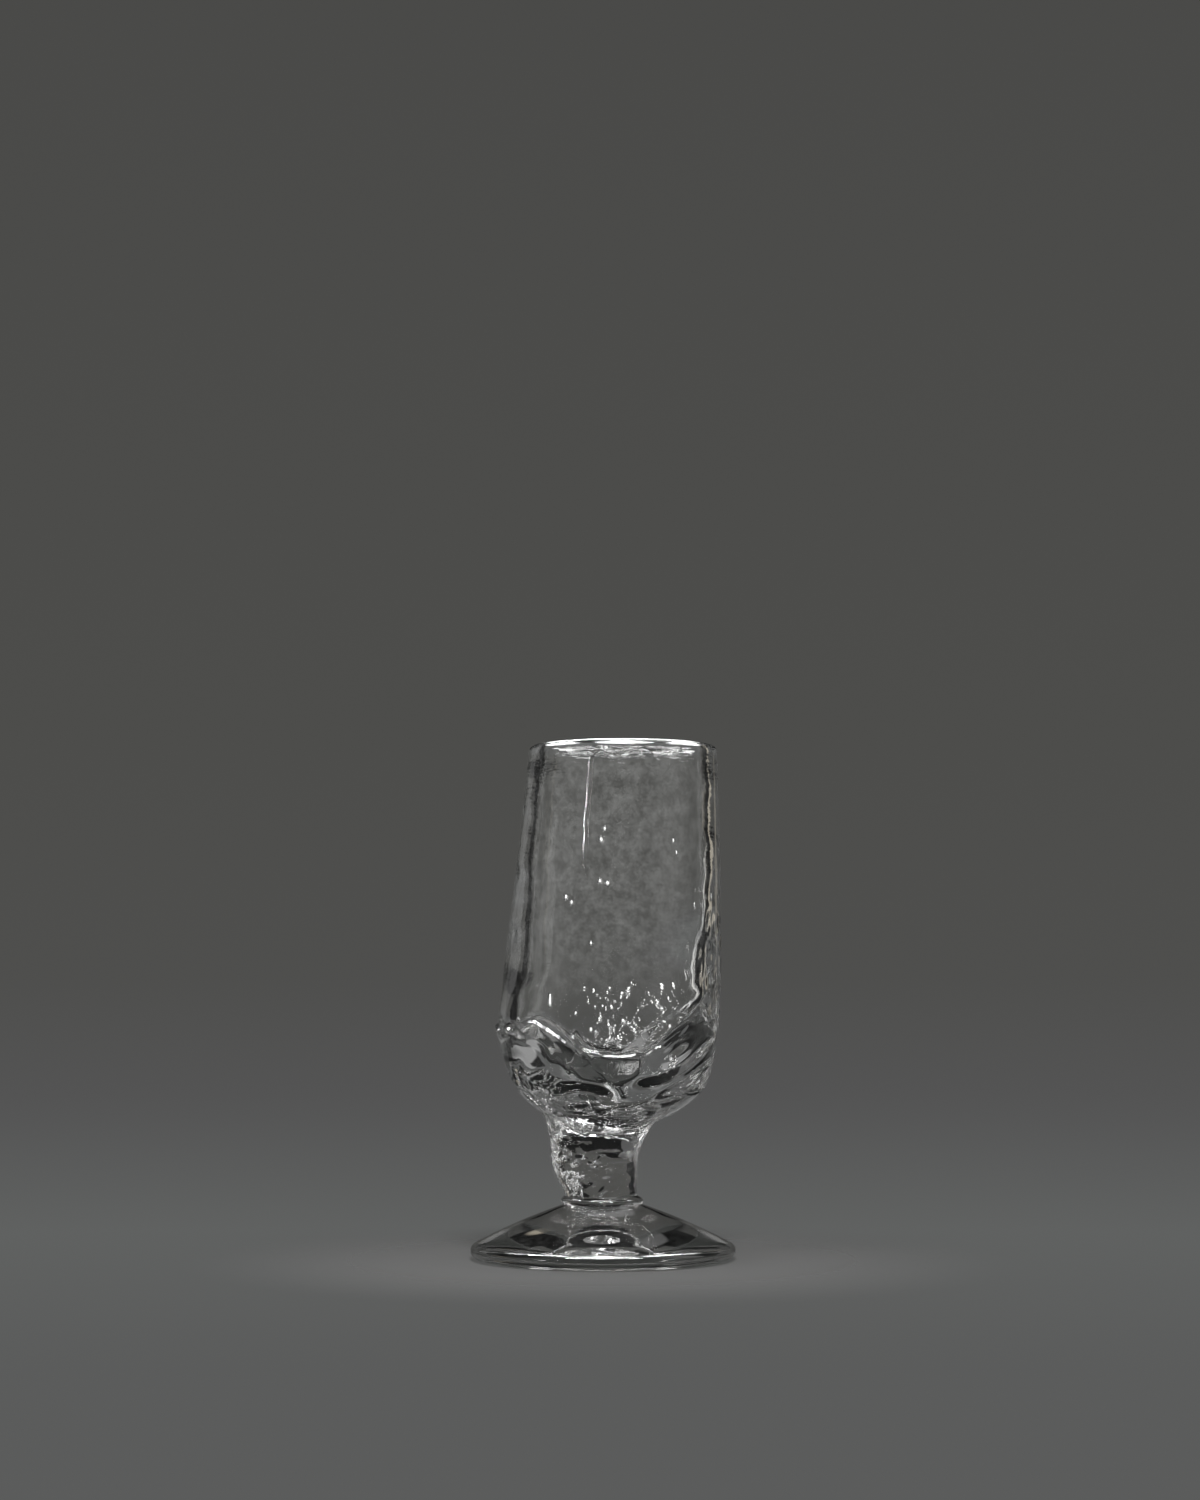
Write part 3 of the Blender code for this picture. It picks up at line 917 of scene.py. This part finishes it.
def add_ripples(tree, shader, place, size, strength, flatten, calm):
    """Hot-worked ripples, full near the rim and calmer below it."""
    squeezed = scaled_vector(tree, "MULTIPLY", place, (1.0, 1.0, flatten))
    ripple = noise_pattern(tree, squeezed, 1.0 / size, RIPPLE_DETAIL)
    level = height_part(tree, place)
    swell = map_range(tree, level, RIPPLE_CALM_LEVEL, RIPPLE_FULL_LEVEL, calm, 1.0)
    bump = tree.nodes.new("ShaderNodeBump")
    bump.inputs["Strength"].default_value = strength
    bump.inputs["Distance"].default_value = RIPPLE_DEPTH
    tree.links.new(math_node(tree, "MULTIPLY", ripple, swell), bump.inputs["Height"])
    tree.links.new(bump.outputs["Normal"], shader.inputs["Normal"])


def add_film(tree, shader, place, film):
    """Thin mottled film, none below its starting level."""
    share, start, full = film
    mottle = noise_pattern(tree, place, 1.0 / FILM_FEATURE, FILM_DETAIL, FILM_ROUGHNESS)
    amount = map_range(tree, mottle, FILM_START, FILM_FULL, 0.0, share)
    above = map_range(tree, height_part(tree, place), start, full, 0.0, 1.0)
    clearness = math_node(tree, "SUBTRACT", 1.0, math_node(tree, "MULTIPLY", amount, above))
    tree.links.new(clearness, shader.inputs["Transmission Weight"])


def let_lamps_through(tree, shader):
    """Lamps shine through the glass in straight lines, so its shadow stays light."""
    path = tree.nodes.new("ShaderNodeLightPath")
    clear = tree.nodes.new("ShaderNodeBsdfTransparent")
    clear.inputs["Color"].default_value = (*SHADOW_TINT, 1.0)
    mix = tree.nodes.new("ShaderNodeMixShader")
    tree.links.new(path.outputs["Is Shadow Ray"], mix.inputs["Fac"])
    tree.links.new(shader.outputs["BSDF"], mix.inputs[1])
    tree.links.new(clear.outputs["BSDF"], mix.inputs[2])
    show_surface(tree, mix.outputs["Shader"])


def glass_material(name, tint, ripple_size, ripple_strength, haze, film=None, flatten=1.0, calm=1.0):
    """Clear glass with a trace of tint, faint ripples, slight haze and, where it has one, a thin film.
    The ripples are squeezed in height by flatten, and scaled by calm below the rim."""
    material, tree, shader = new_material(name)
    shader.inputs["IOR"].default_value = GLASS_IOR
    shader.inputs["Metallic"].default_value = 0.0
    place = object_place(tree)
    add_ripples(tree, shader, place, ripple_size, ripple_strength, flatten, calm)
    smear = noise_pattern(tree, place, SMEARS_PER_METRE, SMEAR_DETAIL)
    tree.links.new(map_range(tree, smear, HAZE_START, HAZE_FULL, 0.0, haze), shader.inputs["Roughness"])
    if film:
        add_film(tree, shader, place, film)
    else:
        shader.inputs["Transmission Weight"].default_value = 1.0
    tone = tree.nodes.new("ShaderNodeValToRGB")
    tone.color_ramp.elements[0].color = (*tint, 1.0)
    tone.color_ramp.elements[1].color = (*CLEAREST_TONE, 1.0)
    tree.links.new(smear, tone.inputs["Fac"])
    tree.links.new(tone.outputs["Color"], shader.inputs["Base Color"])
    let_lamps_through(tree, shader)
    return material


def seam_material():
    """Fused seam inside the glass, which light crosses unchanged."""
    material, tree = bare_material("fused_seam")
    clear = tree.nodes.new("ShaderNodeBsdfTransparent")
    show_surface(tree, clear.outputs["BSDF"])
    return material


def build_foot(seam):
    rows = foot_rows()
    kinds = [GLASS] * len(rows) + [SEAM]
    glass = glass_material("foot_clear", tint=(0.97, 0.975, 0.97), ripple_size=0.012, ripple_strength=0.15,
                           haze=0.02, film=FOOT_FILM)
    glass_piece("foot_disc", "foot", rows, kinds, (glass, seam))


def build_collar(seam):
    rows = collar_rows()
    kinds = [SEAM] + [GLASS] * (len(rows) - 1) + [SEAM]
    glass = glass_material("collar_clear", tint=(0.97, 0.975, 0.97), ripple_size=0.006, ripple_strength=0.2,
                           haze=0.02)
    glass_piece("collar_bead", "stem_collar", rows, kinds, (glass, seam))


def build_stem(seam):
    rows = stem_rows()
    kinds = [SEAM] + [GLASS] * (len(rows) - 1) + [SEAM]
    glass = glass_material("stem_clear", tint=(0.96, 0.965, 0.96), ripple_size=0.003, ripple_strength=0.3,
                           haze=0.03)
    seeds = scattered(STEM_PATCHES, in_stem)
    glass_piece("stem_gather", "stem", rows, kinds, (glass, seam), seeds)


def build_gather(seam):
    skin = gather_outer_rows()
    dome = dome_rows()
    rows = skin + dome[-2::-1]
    kinds = [SEAM] + [GLASS] * (len(skin) - 1) + [SEAM] * len(dome)
    glass = glass_material("gather_clear", tint=(0.965, 0.97, 0.965), ripple_size=0.006,
                           ripple_strength=0.25, haze=0.02)
    seeds = scattered(GATHER_PATCHES, in_gather)
    glass_piece("gather_skin", "base_gather", rows, kinds, (glass, seam), seeds)


def build_bowl(seam):
    dome = dome_rows()
    rows = dome + wall_rows() + rim_rows() + cavity_rows()
    kinds = [SEAM] * len(dome) + [GLASS] * (len(rows) - len(dome) + 1)
    glass = glass_material("bowl_clear", tint=(0.975, 0.98, 0.975), ripple_size=0.006, ripple_strength=0.35,
                           haze=0.02, film=WALL_FILM, flatten=5.0, calm=0.4)
    seeds = scattered(WALL_PATCHES, in_wall) + front_seeds()
    glass_piece("blown_bowl", "bowl", rows, kinds, (glass, seam), seeds)


def build_goblet():
    seam = seam_material()
    build_foot(seam)
    build_collar(seam)
    build_stem(seam)
    build_gather(seam)
    build_bowl(seam)


def stage_material():
    """Plain floor that fades out to its edge."""
    material, tree, shader = new_material("pale_floor")
    shader.inputs["Roughness"].default_value = STAGE_ROUGHNESS
    shader.inputs["Specular IOR Level"].default_value = 0.0
    shader.inputs["Base Color"].default_value = (*STAGE_COLOUR, 1.0)
    out = vector_length(tree, object_place(tree))
    alpha = map_range(tree, out, STAGE_FADE_START, STAGE_FADE_END, 1.0, 0.0, smooth=True)
    tree.links.new(alpha, shader.inputs["Alpha"])
    return material


def build_stage():
    mesh = bpy.data.meshes.new("floor")
    disc = bmesh.new()
    bmesh.ops.create_circle(disc, cap_ends=True, cap_tris=True, segments=STAGE_SIDES, radius=STAGE_RADIUS)
    disc.to_mesh(mesh)
    disc.free()
    mesh.materials.append(stage_material())
    stage = add_object("floor", mesh)
    stage.location.z = -STAGE_DROP


def build_world():
    """Grey surround, lightest low behind the goblet and dark overhead."""
    world = bpy.data.worlds.new("studio")
    bpy.context.scene.world = world
    world.use_nodes = True
    tree = world.node_tree
    direction = tree.nodes.new("ShaderNodeTexCoord").outputs["Generated"]
    height = map_range(tree, height_part(tree, direction), -1.0, 1.0, 0.0, 1.0)
    ramp = tree.nodes.new("ShaderNodeValToRGB")
    elements = ramp.color_ramp.elements
    for index, (elevation, colour) in enumerate(WORLD_TONES):
        at = (math.sin(math.radians(elevation)) + 1.0) / 2.0
        element = elements[index] if index < len(elements) else elements.new(at)
        element.position = at
        element.color = (*colour, 1.0)
    tree.links.new(height, ramp.inputs["Fac"])
    tree.links.new(ramp.outputs["Color"], tree.nodes["Background"].inputs["Color"])


def face_target(thing, place, target):
    """Put a lamp or card in its place, facing its target."""
    thing.location = place
    thing.rotation_euler = (Vector(target) - Vector(place)).to_track_quat("-Z", "Y").to_euler()


def area_lamp(name, place, target, size, power):
    data = bpy.data.lights.new(name, "AREA")
    data.shape = "RECTANGLE"
    data.size, data.size_y = size
    data.energy = power
    lamp = add_object(name, data)
    face_target(lamp, place, target)
    return lamp


def hide_from_glass(lamp):
    """Lamp that glass neither mirrors nor shows."""
    lamp.visible_glossy = False
    lamp.visible_transmission = False


def keep_from_camera(thing):
    """Stage piece that only reflections and refractions show."""
    thing.visible_camera = False
    thing.visible_diffuse = False
    thing.visible_shadow = False


def glow_material(name, half_size, radiance, core, faces, colour):
    """Soft glow that fades to the card's edges, on lines of sight that cross the given count of faces."""
    material, tree = bare_material(name)
    place = scaled_vector(tree, "DIVIDE", object_place(tree), (*half_size, 1.0))
    strength = map_range(tree, vector_length(tree, place), core, 1.0, radiance, 0.0, smooth=True)
    if faces:
        least, most = faces
        depth = tree.nodes.new("ShaderNodeLightPath").outputs["Transmission Depth"]
        crossed = math_node(tree, "COMPARE", depth, (least + most) / 2, (most - least + 1) / 2)
        strength = math_node(tree, "MULTIPLY", strength, crossed)
    glow = tree.nodes.new("ShaderNodeEmission")
    glow.inputs["Color"].default_value = (*colour, 1.0)
    tree.links.new(strength, glow.inputs["Strength"])
    clear = tree.nodes.new("ShaderNodeBsdfTransparent")
    both = tree.nodes.new("ShaderNodeAddShader")
    tree.links.new(glow.outputs["Emission"], both.inputs[0])
    tree.links.new(clear.outputs["BSDF"], both.inputs[1])
    show_surface(tree, both.outputs["Shader"])
    return material


def glow_card(name, place, target, size, radiance, core, faces, colour=WHITE):
    """Soft card out of the camera's sight."""
    half_x = size[0] / 2
    half_y = size[1] / 2
    corners = ((-half_x, -half_y, 0), (half_x, -half_y, 0), (half_x, half_y, 0), (-half_x, half_y, 0))
    mesh = bpy.data.meshes.new(name)
    mesh.from_pydata(corners, [], [(0, 1, 2, 3)])
    mesh.materials.append(glow_material(name, (half_x, half_y), radiance, core, faces, colour))
    card = add_object(name, mesh)
    face_target(card, place, target)
    keep_from_camera(card)
    card.visible_transmission = faces not in (OUTERMOST, MIRRORED)


def rim_cards():
    """Rows for the ring of cards above the rim."""
    rows = []
    for index, direction in enumerate(RIM_CARD_DIRECTIONS):
        turn = math.radians(direction)
        x = RIM_MIDDLE[0] + RIM_CARD_RING * math.cos(turn)
        y = RIM_MIDDLE[1] + RIM_CARD_RING * math.sin(turn)
        rows.append((f"rim_card_{index}", (x, y, RIM_CARD_LEVEL), RIM_MIDDLE, RIM_CARD_SIZE,
                     RIM_CARD_RADIANCE, RIM_CARD_CORE, MIRRORED))
    return rows


def dark_cloth(name, start, stop, low, high):
    """Strip of black cloth round the set, between two directions from +Y and between two elevations."""
    corners = []
    for turn in np.radians(np.linspace(start, stop, ROOM_FOLDS)):
        across = ROOM_RADIUS * math.sin(turn)
        along = ROOM_RADIUS * math.cos(turn)
        corners.append((across, along, ROOM_RADIUS * math.tan(math.radians(low))))
        corners.append((across, along, ROOM_RADIUS * math.tan(math.radians(high))))
    faces = [(2 * fold, 2 * fold + 1, 2 * fold + 3, 2 * fold + 2) for fold in range(ROOM_FOLDS - 1)]
    mesh = bpy.data.meshes.new(name)
    mesh.from_pydata(corners, [], faces)
    material, tree = bare_material(name)
    cloth = tree.nodes.new("ShaderNodeEmission")
    cloth.inputs["Color"].default_value = (ROOM_TONE, ROOM_TONE, ROOM_TONE, 1.0)
    show_surface(tree, cloth.outputs["Emission"])
    mesh.materials.append(material)
    keep_from_camera(add_object(name, mesh))


def dark_room():
    """Black cloth round the set, open behind the goblet where the grey surround shows."""
    dark_cloth("left_flag", -SIDE_FLAG_END, -ROOM_OPENING, ROOM_LOW, ROOM_HIGH)
    dark_cloth("right_flag", ROOM_OPENING, SIDE_FLAG_END, ROOM_LOW, ROOM_HIGH)
    dark_cloth("back_flag", -ROOM_OPENING, ROOM_OPENING, BACK_FLAG_LOW, ROOM_HIGH)
    dark_cloth("table_flag", -ROOM_OPENING, ROOM_OPENING, ROOM_LOW, TABLE_FLAG_HIGH)


def build_lights():
    hide_from_glass(area_lamp("floor_lamp", *FLOOR_LAMP))
    for index, (x, y) in enumerate(SPARK_PLACES):
        place = (x, y, SPARK_LEVEL)
        spark_lamp = area_lamp(f"spark_lamp_{index}", place, GOBLET_MIDDLE, SPARK_SIZE, SPARK_POWER)
        spark_lamp.visible_diffuse = False
    for index, level in enumerate(FRONT_LEVELS):
        area_lamp(f"front_lamp_{index}", (*FRONT_PLACE, level), GOBLET_MIDDLE, FRONT_SIZE, FRONT_POWER)
    for card in (*EDGE_CARDS, *rim_cards(), *ROOM_CARDS):
        glow_card(*card)
    hide_from_glass(area_lamp("film_lamp", *FILM_LAMP))
    dark_room()


def build_camera():
    data = bpy.data.cameras.new("camera")
    data.sensor_width = SENSOR_WIDTH_MM
    data.lens = FOCAL_PX / FRAME_HEIGHT_PX * SENSOR_WIDTH_MM
    data.clip_start = CLIP_START
    data.clip_end = CLIP_END
    camera = add_object("camera", data)
    camera.location = CAMERA_PLACE
    camera.rotation_euler = (math.pi / 2 + CAMERA_PITCH, 0.0, 0.0)
    bpy.context.scene.camera = camera


def set_render_paths():
    scene = bpy.context.scene
    scene.view_settings.view_transform = "Standard"
    scene.cycles.max_bounces = GLASS_BOUNCES
    scene.cycles.transmission_bounces = GLASS_BOUNCES
    scene.cycles.glossy_bounces = MIRROR_BOUNCES
    scene.cycles.transparent_max_bounces = SEAM_BOUNCES
    scene.cycles.caustics_reflective = False
    scene.cycles.caustics_refractive = False


build_camera()
build_goblet()
build_stage()
build_world()
build_lights()
set_render_paths()
